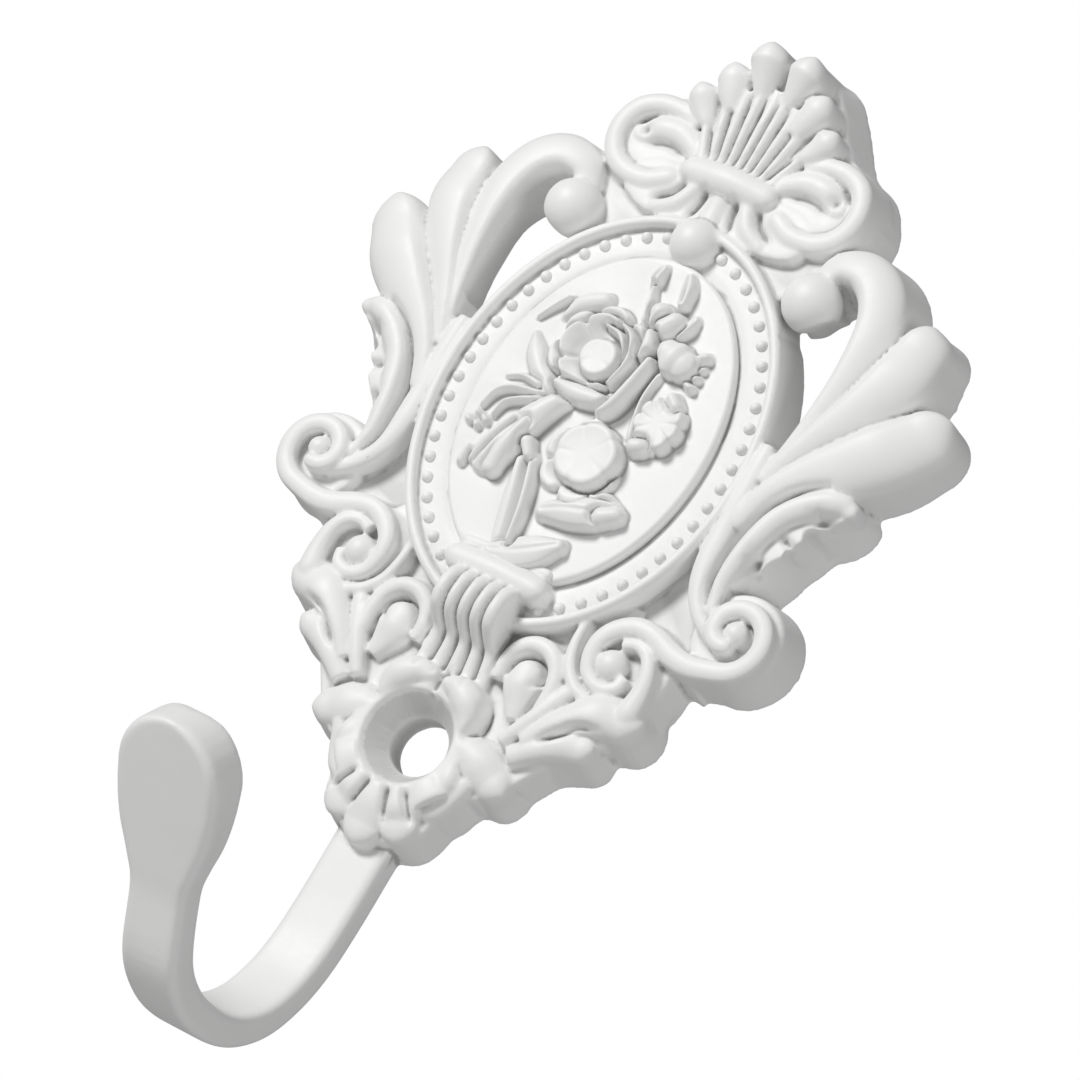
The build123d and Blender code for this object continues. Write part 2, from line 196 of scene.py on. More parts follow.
def slab(corners, low, high, flare=0.14, both=False):
    # a flat web with drafted edges
    spots = smoothRows(list(corners) + [corners[0]], 3)[:-1]
    middle = spots.mean(axis=0)
    reach = np.linalg.norm(spots - middle, axis=1, keepdims=True)
    loops = []
    for level, grow in [(low, flare * (high - low)), (high - 0.5, 0.0), (high - 0.1, -0.2), (high, -0.6)]:
        edge = middle + (spots - middle) * (1 + grow / reach)
        loops.append(np.stack([edge[:, 0], np.full(len(edge), -level), edge[:, 1]], axis=1))
    addClay(loops, both)


def disc(cx, cz, radius, high, flare, both=False):
    # a round web
    turn = np.linspace(0, 2 * pi, 24, endpoint=False)
    slab([(cx + radius * cos(t), cz + radius * sin(t)) for t in turn], 0.0, high, flare, both)


def wideWeb(side, high, flare=0.14):
    # a web over both halves, from the outline of one
    slab(side + [(-x, z) for x, z in side[::-1]], 0.0, high, flare)


def bank(rows, high, scoop, both=False):
    # a bank that sweeps from a wide outline at the wall up to a scalloped one at the front
    path = smoothRows(list(rows) + [rows[0]], 4)[:-1]
    loops = []
    for part in (0.0, 0.08, 0.18, 0.3, 0.45, 0.6, 0.75, 0.88, 1.0):
        spread = (1 - part) ** scoop
        edge = path[:, 2:] + (path[:, :2] - path[:, 2:]) * spread
        loops.append(np.stack([edge[:, 0], np.full(len(edge), -high * part), edge[:, 1]], axis=1))
    addClay(loops, both)


cuts = []

cutting = {
    "reach": 2.5,         # how far to each side a groove is felt, in its widths
    "endDepth": 0.3,      # share of its depth left at its ends
    "endLength": 0.2,     # share of its length over which it gets that shallow
}


def groove(points, wide, deep, both=False):
    # a line cut into the front once the skin is fused
    cuts.append((points, wide, deep))
    if both:
        cuts.append(([(-x, z) for x, z in points], wide, deep))


def nearLine(x, z, rows):
    # signed distance to a soft line, how far along it that is, and the line's further columns there
    path = smoothRows(rows, 4)
    best = np.full(x.shape, 1e9)
    side = np.ones(x.shape)
    part = np.zeros(x.shape)
    carried = [np.zeros(x.shape) for column in range(path.shape[1] - 2)]
    count = len(path) - 1
    for i in range(count):
        start = path[i]
        step = path[i + 1] - start
        t = np.clip(((x - start[0]) * step[0] + (z - start[1]) * step[1]) / (step[0] ** 2 + step[1] ** 2), 0, 1)
        dx = x - start[0] - t * step[0]
        dz = z - start[1] - t * step[1]
        away = np.hypot(dx, dz)
        near = away < best
        best = np.where(near, away, best)
        side = np.where(near, np.where(step[0] * dz - step[1] * dx < 0, -1.0, 1.0), side)
        part = np.where(near, (i + t) / count, part)
        carried = [np.where(near, start[k + 2] + t * step[k + 2], old) for k, old in enumerate(carried)]
    return best * side, part, carried


def carve(spots):
    x, high, z = spots[:, 0], -spots[:, 1], spots[:, 2]
    front = np.clip((high - casting["frontFrom"]) / casting["frontFade"], 0, 1)
    for points, wide, deep in cuts:
        low = np.min(points, axis=0) - cutting["reach"] * wide
        top = np.max(points, axis=0) + cutting["reach"] * wide
        near = np.nonzero((x > low[0]) & (x < top[0]) & (z > low[1]) & (z < top[1]) & (front > 0))[0]
        if len(points) == 1:
            away = np.hypot(x[near] - points[0][0], z[near] - points[0][1])
            fade = 1.0
        else:
            away, part = nearLine(x[near], z[near], points)[:2]
            inner = np.clip(np.minimum(part, 1 - part) / cutting["endLength"], 0, 1)
            fade = cutting["endDepth"] + (1 - cutting["endDepth"]) * inner
        high[near] -= deep * fade * np.exp(-(away / wide) ** 2) * front[near]
    spots[:, 1] = -high
    return spots


print("oval plate")


def ovalRing(offset, high, count=180):
    turn = np.linspace(0, 2 * pi, count, endpoint=False)
    return np.stack([(oval["a"] + offset) * np.cos(turn), np.full(count, -high),
                     oval["z"] + (oval["b"] + offset) * np.sin(turn)], axis=1)


def ovalBody():
    o = oval
    outer, inner, field, rim, band = o["rimOut"], o["rimIn"], -o["fieldIn"], o["rimHigh"], o["bandHigh"]
    profile = [(outer + o["flare"], 0.0), (outer + 0.08, 4.0), (outer, rim - 0.6), (outer - 0.08, rim - 0.32),
               (outer - 0.27, rim - 0.1), (outer - 0.5, rim), (outer - 0.62, rim - 0.12), (inner + 0.25, rim - 0.02),
               (inner + 0.05, rim - 0.12), (inner - 0.05, rim - 0.4), (inner - 0.08, band - 0.2),
               (inner - 0.3, band - 0.15), (inner - 0.45, band), (field + 0.9, band), (field + 0.3, band - 0.15),
               (field + 0.05, band - 0.3), (field - 0.8, band - 0.3), (field - 8.0, band - 0.3)]
    clay.rings([ovalRing(offset, high) for offset, high in profile])
    # ball on top of the rim
    knob(0, o["z"] + o["b"] - 0.1, 2.45, 5.7, foot=3.0)


ovalBody()

print("leaf lobes")
stroke([(30.5, 44.8, 3.1, 6.4), (28.1, 41.8, 3.4, 7.3), (25.1, 39.0, 2.9, 7.3), (22.1, 36.4, 2.0, 7.0),
        (19.9, 33.8, 1.3, 6.7), (18.5, 30.5, 0.9, 6.3)], skew=-0.45, power=0.45, flare=0.03, both=True)
stroke([(26.0, 52.4, 2.6, 6.4), (25.7, 48.8, 2.9, 7.3), (23.9, 44.7, 2.15, 7.3), (21.7, 41.0, 1.35, 7.0),
        (20.0, 37.8, 0.85, 6.7), (18.8, 35.0, 0.5, 6.3)], skew=-0.45, power=0.45, both=True)
stroke([(13.6, 55.2, 1.2, 6.4), (14.9, 56.8, 1.7, 6.9), (17.3, 57.2, 2.1, 7.2), (19.6, 55.9, 2.3, 7.3),
        (21.1, 53.2, 2.25, 7.3), (21.5, 50.0, 2.0, 7.3), (21.2, 46.0, 1.5, 7.1), (20.4, 42.0, 1.0, 6.8),
        (19.5, 38.6, 0.6, 6.5), (18.6, 36.0, 0.4, 6.2)], skew=-0.45, both=True)
# toothed leaf: a broad rib over a scooped bank; rows of the bank are x, z at the wall and x, z at the front
stroke([(27.9, 35.9, 0.9, 5.9), (27.0, 36.1, 1.1, 6.3), (25.6, 35.7, 1.35, 6.6), (23.7, 34.4, 1.4, 6.7),
        (22.3, 32.9, 1.35, 6.7), (21.4, 31.0, 1.3, 6.7), (20.9, 29.0, 1.15, 6.7), (20.5, 27.0, 1.05, 6.6),
        (20.3, 25.0, 0.9, 6.4), (20.7, 23.0, 0.7, 6.2), (21.6, 21.3, 0.4, 6.0)],
       foot=3.0, flare=0.0, skew=-0.1, endRound=True, both=True)
bank([(28.5, 37.5, 27.4, 36.9), (29.4, 36.3, 28.2, 36.0), (29.3, 34.9, 28.0, 35.1), (28.5, 33.4, 26.6, 33.9),
      (27.3, 32.4, 25.1, 32.9), (26.7, 31.9, 24.9, 32.3), (26.4, 31.2, 25.1, 31.6), (26.1, 30.5, 24.4, 30.7),
      (25.6, 29.7, 24.1, 30.1), (25.3, 29.1, 24.1, 29.5), (25.0, 28.1, 23.4, 28.7), (24.6, 27.1, 22.6, 27.6),
      (23.8, 25.9, 21.8, 26.3), (22.8, 24.8, 21.2, 25.0), (21.8, 23.6, 20.8, 23.6), (19.0, 23.0, 19.0, 23.0),
      (18.7, 27.0, 18.7, 27.0), (19.2, 30.5, 19.2, 30.5), (21.0, 33.8, 21.0, 33.8), (24.0, 36.2, 24.0, 36.2),
      (26.2, 37.2, 26.2, 37.0)], 5.3, scoop=1.4, both=True)
groove([(27.4, 33.6), (26.2, 34.0), (25.2, 34.0)], 0.7, 0.9, both=True)
groove([(24.9, 30.6), (24.0, 30.9), (23.3, 31.2)], 0.4, 0.6, both=True)
groove([(22.9, 26.6), (22.3, 27.8), (21.9, 28.6)], 0.7, 0.9, both=True)
groove([(25.3, 37.1), (22.9, 35.6), (21.0, 33.3), (20.0, 30.8), (19.5, 28.5), (19.3, 26.5), (19.4, 24.5),
        (20.0, 22.8)], 0.36, 1.1, both=True)
# smooth band between the oval and the leaves
stroke([(17.6, 38.5, 0.6, 6.3), (17.7, 37.0, 0.9, 6.5), (17.75, 33.5, 1.05, 6.5), (17.75, 30.0, 1.15, 6.4),
        (17.9, 26.8, 1.2, 6.4), (18.5, 24.0, 1.1, 6.3), (19.9, 21.6, 0.8, 6.2), (22.6, 19.5, 0.5, 6.0)],
       foot=1.0, flare=0.05, startRound=False, power=0.35, both=True)
slab([(15.5, 27.0), (15.5, 37.5), (18.0, 38.6), (20.0, 35.0), (19.5, 27.0)], 0.0, 4.9, both=True)

print("scrolls")
bigCoil = withSize(coil(24.1, 21.0, 270, -90, 1.35, 3.85, 14), (0.75, 1.02), (6.8, 6.5))
stroke(bigCoil + [(21.7, 16.7, 1.1, 6.5), (19.6, 17.0, 1.15, 6.5), (17.6, 17.8, 1.1, 6.5), (15.6, 18.1, 1.0, 6.5),
                  (13.8, 17.3, 0.95, 6.5), (12.6, 15.8, 0.85, 6.5), (12.4, 14.0, 0.75, 6.4), (13.1, 12.3, 0.68, 6.2),
                  (14.7, 11.5, 0.6, 6.1), (16.2, 12.1, 0.55, 6.0), (16.5, 13.4, 0.6, 5.9)],
       flare=0.02, dome=0.75, power=0.42, both=True)
disc(24.1, 21.0, 4.5, 4.9, 0.13, both=True)
disc(15.4, 14.3, 4.8, 4.7, 0.12, both=True)
slab([(22.0, 15.4), (17.0, 16.2), (12.0, 19.0), (16.5, 27.0), (19.5, 27.0), (22.0, 22.0)], 0.0, 3.7, both=True)
knob(24.3, 21.2, 1.2, 5.5, foot=3.0, both=True)
knob(14.7, 13.9, 1.6, 5.1, foot=3.0, both=True)
stroke([(18.6, 10.6, 1.3, 6.3), (18.8, 12.6, 1.0, 6.3), (18.5, 14.6, 0.78, 6.4), (17.6, 16.0, 0.66, 6.4),
        (16.2, 16.5, 0.58, 6.3), (14.8, 16.0, 0.5, 6.2)], foot=1.0, power=0.42, both=True)
stroke([(10.2, 16.8, 0.4, 5.9), (10.3, 14.4, 0.55, 6.0), (11.0, 12.2, 0.6, 6.0), (12.6, 10.6, 0.6, 6.0),
        (14.6, 10.0, 0.5, 5.9)], foot=2.0, both=True)

print("lower leaves and curls")
stroke([(18.2, 9.8, 2.3, 6.0), (15.9, 9.3, 2.1, 6.7), (13.8, 7.8, 1.5, 6.6), (12.0, 6.1, 1.05, 6.3),
        (10.4, 4.1, 0.75, 5.8)], skew=0.2, power=0.45, both=True)
stroke([(15.7, 5.9, 1.5, 5.4), (13.9, 5.4, 1.6, 5.9), (12.0, 4.1, 1.3, 5.9), (9.8, 2.3, 1.0, 5.5)],
       power=0.45, both=True)
groove([(17.0, 7.9), (15.0, 7.3), (13.4, 5.9), (12.2, 4.8)], 0.36, 0.8, both=True)
stroke([(12.0, 9.8, 0.9, 5.9), (10.9, 7.6, 0.85, 6.0), (9.6, 5.2, 0.75, 5.9), (8.4, 3.2, 0.65, 5.6)],
       foot=2.0, both=True)
stroke([(10.4, 7.4, 0.6, 5.9), (10.5, 9.4, 0.72, 6.0), (10.0, 11.3, 0.8, 6.1), (8.7, 12.6, 0.85, 6.2),
        (7.0, 12.8, 0.85, 6.2), (5.5, 11.9, 0.78, 6.1), (4.8, 10.2, 0.65, 6.0), (4.8, 8.4, 0.5, 5.8)],
       foot=2.0, power=0.42, both=True)
stroke([(7.4, 9.7, 2.0, 6.2), (7.5, 8.6, 1.95, 6.2), (7.9, 7.0, 1.3, 5.7), (8.3, 5.6, 0.7, 5.3)],
       foot=2.0, dome=0.8, both=True)
groove([(5.7, 9.4), (6.1, 10.9), (7.4, 11.6), (8.8, 11.0), (9.1, 9.8), (8.6, 9.0)], 0.3, 0.9, both=True)
stroke([(9.5, -0.3, 2.0, 5.3), (7.8, 0.5, 2.3, 5.9), (5.6, 1.3, 1.8, 6.0)], power=0.45, both=True)
# lumps round the screw hole
stroke([(4.8, 3.4, 1.2, 6.3), (4.0, 4.9, 1.6, 6.9), (2.6, 5.9, 1.4, 6.9), (1.3, 6.1, 0.9, 6.5)],
       foot=2.0, endRound=True, both=True)
groove([(5.3, 2.2), (5.9, 4.0), (5.4, 6.2)], 0.4, 1.2, both=True)
stroke([(5.3, -3.6, 1.05, 5.5), (5.8, -2.2, 1.15, 6.0), (5.6, -0.8, 0.9, 5.9)], endRound=True, both=True)
stroke([(4.2, -5.7, 0.9, 5.0), (5.7, -4.9, 1.0, 5.0), (6.6, -3.2, 1.0, 5.1), (7.4, -1.4, 0.9, 5.3)],
       endRound=True, flare=0.1, both=True)
groove([(0.0, 4.6), (0.0, 7.4)], 0.35, 0.7)
wideWeb([(14.0, 20.0), (18.0, 9.0), (14.0, 4.0), (9.8, -1.8), (6.4, -3.5), (5.8, -7.4), (2.4, -9.8)], 4.2)
# the shell: a collar round the hole and five flutes that reach down from it
disc(0, 0, 6.3, 5.9, 0.1)
for angle, reach, wide in [(0, 10.7, 2.0), (24, 9.7, 2.0), (-24, 9.7, 2.0), (50, 8.5, 1.7), (-50, 8.5, 1.7)]:
    dx = sin(radians(angle))
    dz = -cos(radians(angle))
    stroke([(dx * reach * 0.84, dz * reach * 0.84, wide, 5.4), (dx * 7.0, dz * 7.0, wide * 1.1, 6.1),
            (dx * 5.0, dz * 5.0, wide, 6.2)], dome=0.5, power=0.4)
for line in ([(-2.8, -4.6), (-4.4, -7.0)], [(-1.0, -4.9), (-1.9, -7.8)],
             [(1.0, -4.9), (1.9, -7.8)], [(2.8, -4.6), (4.4, -7.0)]):
    groove(line, 0.34, 0.85)

print("tassel and crown")
# five strands that bend over the plate's lower edge
for strand in range(-2, 3):
    x = strand * 1.45
    stroke([(x, 16.4, 0.7, 7.4), (x, 15.4, 0.78, 8.8), (x, 13.5, 0.8, 9.4), (x, 11.9, 0.8, 8.9), (x, 10.9, 0.8, 7.4),
            (x * 1.03, 10.1, 0.78, 5.9), (x * 1.12, 8.4, 0.74, 5.4), (x * 1.25, 6.0, 0.72, 5.0)], foot=3.0, flare=0.0,
           startRound=False)
for x in (0.72, 2.18):
    groove([(x, 15.8), (x, 13.0), (x * 1.03, 10.6), (x * 1.2, 6.4)], 0.26, 0.75, both=True)
# two rolls over the tassel, then the bow under the crown
stroke([(-4.4, 17.0, 1.35, 7.8), (0, 17.1, 1.4, 8.1), (4.4, 17.0, 1.35, 7.8)], foot=2.0, endRound=True)
stroke([(-4.6, 18.9, 0.55, 6.9), (0, 19.0, 0.6, 7.1), (4.6, 18.9, 0.55, 6.9)], foot=3.0, endRound=True)
stroke([(-3.9, 60.1, 1.5, 7.1), (0, 60.2, 1.6, 7.6), (3.9, 60.1, 1.5, 7.1)], foot=2.0, endRound=True)
slab([(-10.2, 56.2), (-8.6, 60.2), (8.6, 60.2), (10.2, 56.2), (6.8, 54.8), (0.0, 55.4), (-6.8, 54.8)], 0.0, 5.9)
stroke([(0, 55.4, 1.3, 6.4), (0, 57.2, 1.2, 6.5), (0, 59.4, 1.0, 6.6)], foot=2.0, startRound=False)
stroke([(5.9, 55.6, 0.8, 6.2), (4.0, 56.7, 0.85, 6.5), (2.7, 59.2, 0.7, 6.6)], foot=2.0, both=True)
groove([(1.7, 58.8), (1.9, 57.2), (2.3, 55.8)], 0.32, 0.9, both=True)
groove([(4.2, 58.8), (5.0, 57.4), (6.6, 56.3)], 0.34, 0.9, both=True)
# curls beside the bow
stroke([(6.4, 58.6, 1.0, 6.4), (8.3, 57.7, 1.05, 6.4), (10.5, 57.7, 1.05, 6.4), (12.4, 58.6, 1.05, 6.5),
        (13.5, 60.3, 1.05, 6.6), (13.6, 62.3, 1.05, 6.7), (12.6, 64.2, 1.05, 6.7), (10.6, 65.2, 1.05, 6.6),
        (8.4, 65.2, 0.95, 6.5), (6.2, 64.3, 0.75, 6.3)], foot=2.0, power=0.4, both=True)
stroke([(11.1, 61.9, 1.15, 6.2), (9.5, 62.9, 1.4, 6.6), (7.5, 63.1, 1.4, 6.6), (5.6, 62.3, 1.15, 6.5),
        (4.2, 61.0, 0.7, 6.3)], foot=2.0, power=0.45, both=True)
slab([(5.2, 61.8), (5.6, 58.2), (9.2, 57.4), (12.8, 59.2), (13.0, 62.2), (9.4, 62.8)], 2.0, 5.75, both=True)
groove([(6.0, 61.2), (8.2, 61.5), (10.4, 61.0)], 0.34, 0.5, both=True)
groove([(10.9, 62.2)], 0.6, 0.7, both=True)
wideWeb([(12.0, 52.0), (14.4, 58.0), (15.0, 62.0), (12.7, 65.8), (9.3, 67.3), (6.1, 71.3), (3.1, 73.9)], 4.6, 0.24)
slab([(-3.6, 60.6), (-6.4, 66.4), (-4.2, 69.4), (0.0, 71.4), (4.2, 69.4), (6.4, 66.4), (3.6, 60.6)], 0.0, 5.9)
# strands of the fan: x at the bow, then x, z and crest at the top
fan = [(0.0, 0.0, 70.2, 6.9), (0.95, 1.45, 70.6, 7.3), (1.9, 2.85, 69.0, 7.1), (2.8, 4.2, 67.2, 6.9),
       (3.7, 5.5, 65.4, 6.5)]
for lowX, topX, topZ, high in fan:
    stroke([(lowX, 60.8, 0.44, 6.5), ((lowX + topX) / 2, (60.8 + topZ) / 2, 0.56, (6.6 + high) / 2),
            (topX, topZ, 0.68, high)], foot=2.0, flare=0.0, dome=1.2, startRound=False, both=lowX > 0)
for near, away in zip(fan[:-1], fan[1:]):
    groove([((near[0] + away[0]) / 2, 61.6), ((near[1] + away[1]) / 2, (near[2] + away[2]) / 2 - 1.6)],
           0.2, 0.65, both=True)
# drops round the fan, and the balls at the ends of the upper lobes
for drop in [[(2.1, 72.2, 2.0, 8.9), (1.8, 70.6, 1.35, 8.0), (1.5, 69.0, 0.7, 7.2)],
             [(4.8, 69.6, 1.75, 8.0), (4.2, 68.1, 1.4, 7.6), (3.6, 66.6, 0.7, 7.0)],
             [(7.1, 67.1, 1.5, 7.4), (6.3, 65.9, 1.2, 7.0), (5.4, 64.8, 0.6, 6.7)]]:
    stroke(drop, dome=0.9, flare=0.12, both=True)
knob(13.8, 52.5, 2.9, 5.3, under=-0.9, flare=0.1, both=True)

print("arm")
arm = {
    "half": 3.2,
    "thick": 3.3,
    "edge": 0.9,          # mm, rounding of its four edges
    "lean": 44.0,         # degrees, how far the tip leans out
    "discY": -37.2,       # middle of the tip's front face
    "discZ": -17.7,
    "discRadius": 5.65,
    "discThick": 4.5,
    "middle": [(-1.65, -3.0), (-1.65, -12.0), (-1.75, -17.3), (-2.2, -21.9), (-3.5, -25.8), (-6.0, -29.3),
               (-10.0, -31.65), (-14.8, -32.45), (-19.3, -31.95), (-23.5, -29.95)],     # y, z down to the tip
    "neck": [(-11.8, 3.2, 3.2), (-9.0, 3.9, 3.3), (-6.0, 4.95, 3.7), (-3.0, 5.5, 4.1)],
}


def tipRows(sizes):
    # sections of the leaning tip, given as distance from the disc's middle, half width and thickness
    lean = radians(arm["lean"])
    return [(arm["discY"] - t * sin(lean) + 0.5 * thick * cos(lean),
             arm["discZ"] + t * cos(lean) + 0.5 * thick * sin(lean), half, thick) for t, half, thick in sizes]


def armSkin():
    # level sections across the arm's midline; past the disc's middle they follow a circle and get thinner
    a = arm
    rows = [(y, z, a["half"], a["thick"]) for y, z in a["middle"]]
    rows = smoothRows(rows + tipRows(a["neck"] + [(0.0, a["discRadius"], a["discThick"])]), 6).tolist()
    radius = a["discRadius"]
    for t in radius * np.sin(np.radians([12, 24, 36, 48, 58, 67, 75, 82, 87])):
        near = max(0.0, t - radius + 1.4) / 1.4
        rows += tipRows([(t, np.sqrt(radius ** 2 - t ** 2), a["discThick"] - 2.0 * (1 - np.sqrt(1 - near ** 2)))])
    path = np.array(rows)
    along = np.gradient(path[:, :2], axis=0)
    along /= np.linalg.norm(along, axis=1, keepdims=True)
    tail = path[:, 0] < a["discY"] + 0.5 * a["discThick"] * cos(radians(a["lean"]))
    corner = np.radians(np.linspace(0, 90, 7))
    loops = []
    for (y, z, half, thick), (ay, az), tip in zip(path, along, tail):
        if tip:
            ay, az = -sin(radians(a["lean"])), cos(radians(a["lean"]))
        r = min(a["edge"], 0.45 * thick, 0.9 * half)
        loop = []
        for sx, sy, first in [(1, 1, 0), (-1, 1, 90), (-1, -1, 180), (1, -1, 270)]:
            for q in corner + radians(first):
                px = sx * (half - r) + r * cos(q)
                py = sy * (0.5 * thick - r) + r * sin(q)
                loop.append((px, y - az * py, z + ay * py))
        loops.append(loop)
    clay.rings(loops)


armSkin()

print("fusing", clay.count, "points")


def applyOn(piece, kind, **settings):
    # one modifier, set and applied
    modifier = piece.modifiers.new(kind.lower(), kind)
    for key, value in settings.items():
        setattr(modifier, key, value)
    bpy.context.view_layer.update()
    data = bpy.data.meshes.new_from_object(piece.evaluated_get(bpy.context.evaluated_depsgraph_get()))
    piece.modifiers.clear()
    old = piece.data
    piece.data = data
    bpy.data.meshes.remove(old)
    print("  ", kind, len(data.polygons), "faces")


def newPiece(name, data):
    piece = bpy.data.objects.new(name, data)
    bpy.context.scene.collection.objects.link(piece)
    return piece


def places(piece):
    spots = np.zeros(len(piece.data.vertices) * 3)
    piece.data.vertices.foreach_get("co", spots)
    return spots.reshape(-1, 3)


def setPlaces(piece, spots):
    piece.data.vertices.foreach_set("co", np.ascontiguousarray(spots).ravel())
    piece.data.update()


hook = newPiece("coatHookCasting", clay.mesh("casting"))
applyOn(hook, "REMESH", mode="VOXEL", voxel_size=casting["voxel"], use_smooth_shade=True)


def neighbours(piece):
    # the ends of every edge, and how many edges meet at each spot
    edges = np.zeros(len(piece.data.edges) * 2, int)
    piece.data.edges.foreach_get("vertices", edges)
    a, b = edges.reshape(-1, 2).T
    count = len(piece.data.vertices)
    return a, b, np.maximum(np.bincount(a, minlength=count) + np.bincount(b, minlength=count), 1)


def averaged(value, links):
    a, b, near = links
    return (np.bincount(a, value[b], len(value)) + np.bincount(b, value[a], len(value))) / near


def evenOut(piece, spots):
    # takes the small steps out of the outline at the wall, and out of the plain arm
    links = neighbours(piece)
    share = 0.6 * np.clip(casting["backBand"] + spots[:, 1], 0, 1)
    bare = 0.5 * np.clip(casting["armBelow"] - spots[:, 2], 0, 1)
    for again in range(casting["backPasses"]):
        for k in (0, 2):
            spots[:, k] += share * (averaged(spots[:, k], links) - spots[:, k])
    for again in range(casting["armPasses"]):
        for k in range(3):
            spots[:, k] += bare * (averaged(spots[:, k], links) - spots[:, k])
    return spots


screwHole = {
    "high": [-2.0, 2.7, 2.95, 5.2, 5.9, 9.0],
    "radius": [2.9, 2.9, 3.0, 4.35, 4.75, 6.6],     # bore, then the countersink and its opening
    "shadeRadius": 4.7,   # mm, the wall inside these two gets painted shade
    "shadeHigh": 5.6,
}

gap = {
    "foot": 40.0,         # z of the lower end
    "beside": [0.6, 1.9, 3.8, 5.8, 7.4, 8.6],       # heights over the foot where the edge follows the oval
    "stretch": 0.2,       # how much longer that edge is at the wall
    "far": [(14.6, 49.7, -0.7, 1.9), (16.3, 51.0, -1.3, 2.2), (17.7, 52.2, -0.6, 2.0), (19.15, 50.0, 1.1, 0.6),
            (19.4, 46.0, 1.3, 0.0), (19.35, 42.5, 1.1, 0.0), (19.0, 40.4, 0.7, 0.0)],   # x, z, shift at the wall
}


def boreTool():
    tool = Skin()
    turn = np.linspace(0, 2 * pi, 96, endpoint=False)
    high = np.arange(-2.0, 9.0, 0.3)
    radius = np.interp(high, screwHole["high"], screwHole["radius"])
    tool.rings([np.stack([r * np.cos(turn), np.full(96, -h), r * np.sin(turn)], axis=1)
                for h, r in zip(high, radius)])
    return newPiece("boreTool", tool.mesh("boreTool"))


def gapTool(side):
    # the opening beside the oval, a little wider at the back
    tool = Skin()
    loops = []
    for level in np.arange(-1.0, 9.0, 0.3):
        back = 1 - level / oval["rimHigh"]
        reach = oval["rimOut"] + oval["flare"] * back
        spots = [((oval["a"] + reach) * np.sqrt(1 - ((z - oval["z"]) / (oval["b"] + reach)) ** 2), z)
                 for z in gap["foot"] + np.array(gap["beside"]) * (1 + gap["stretch"] * back)]
        spots += [(x + dx * back, z + dz * back) for x, z, dx, dz in gap["far"]]
        outline = smoothRows(spots + [spots[0]], 6)[:-1]
        loops.append([(side * x, -level, z) for x, z in outline])
    tool.rings(loops if side < 0 else [loop[::-1] for loop in loops])
    return newPiece("gapTool", tool.mesh("gapTool"))


for tool in [boreTool(), gapTool(1), gapTool(-1)]:
    applyOn(hook, "BOOLEAN", operation="DIFFERENCE", solver="MANIFOLD", object=tool)
    bpy.data.objects.remove(tool)
applyOn(hook, "REMESH", mode="VOXEL", voxel_size=casting["voxel"], use_smooth_shade=True)
setPlaces(hook, evenOut(hook, carve(places(hook))))
applyOn(hook, "SMOOTH", factor=0.5, iterations=casting["paintPasses"])
faces = sum(len(p.vertices) - 2 for p in hook.data.polygons)
applyOn(hook, "DECIMATE", ratio=min(1.0, casting["triangles"] / faces))

print("beads")


def beadPiece():
    pearls = Skin()
    turn = np.linspace(pi / 2, pi / 2 + 2 * pi, 2000)
    line = np.stack([oval["a"] * np.cos(turn), oval["b"] * np.sin(turn)], axis=1)
    length = np.concatenate([[0], np.cumsum(np.linalg.norm(np.diff(line, axis=0), axis=1))])
    round20 = np.linspace(0, 2 * pi, 20, endpoint=False)
    r = oval["beadRadius"]
    # a short foot, then the ball, in bead radii
    sizes = [(-0.5, 1.12), (-0.02, 1.08), (0.12, 0.99)] + [(sin(q), cos(q)) for q in np.linspace(0.3, 1.48, 7)]
    for i in range(oval["beads"]):
        at = length[-1] * (i + 0.5) / oval["beads"]
        x = np.interp(at, length, line[:, 0])
        z = np.interp(at, length, line[:, 1]) + oval["z"]
        underTassel = z < 17.0 and abs(x) < 5.0
        underBall = z > 50 and abs(x) < 1.3
        if underTassel or underBall:
            continue
        pearls.rings([np.stack([x + r * wide * np.cos(round20), np.full(20, -(oval["bandHigh"] + r * high)),
                                z + r * wide * np.sin(round20)], axis=1) for high, wide in sizes])
    return newPiece("beadRow", pearls.mesh("beadRow"))


beads = beadPiece()

print("bouquet")
cameo = {
    "columns": 236,
    "rows": 304,
    "rise": 1.9,          # how much the flowers' heights below are drawn out
    "wall": 0.3,          # mm, how wide the slope at a petal's edge is
    "moat": 0.6,          # how deep the ground sinks beside a petal laid over another
    "soften": 2,
}


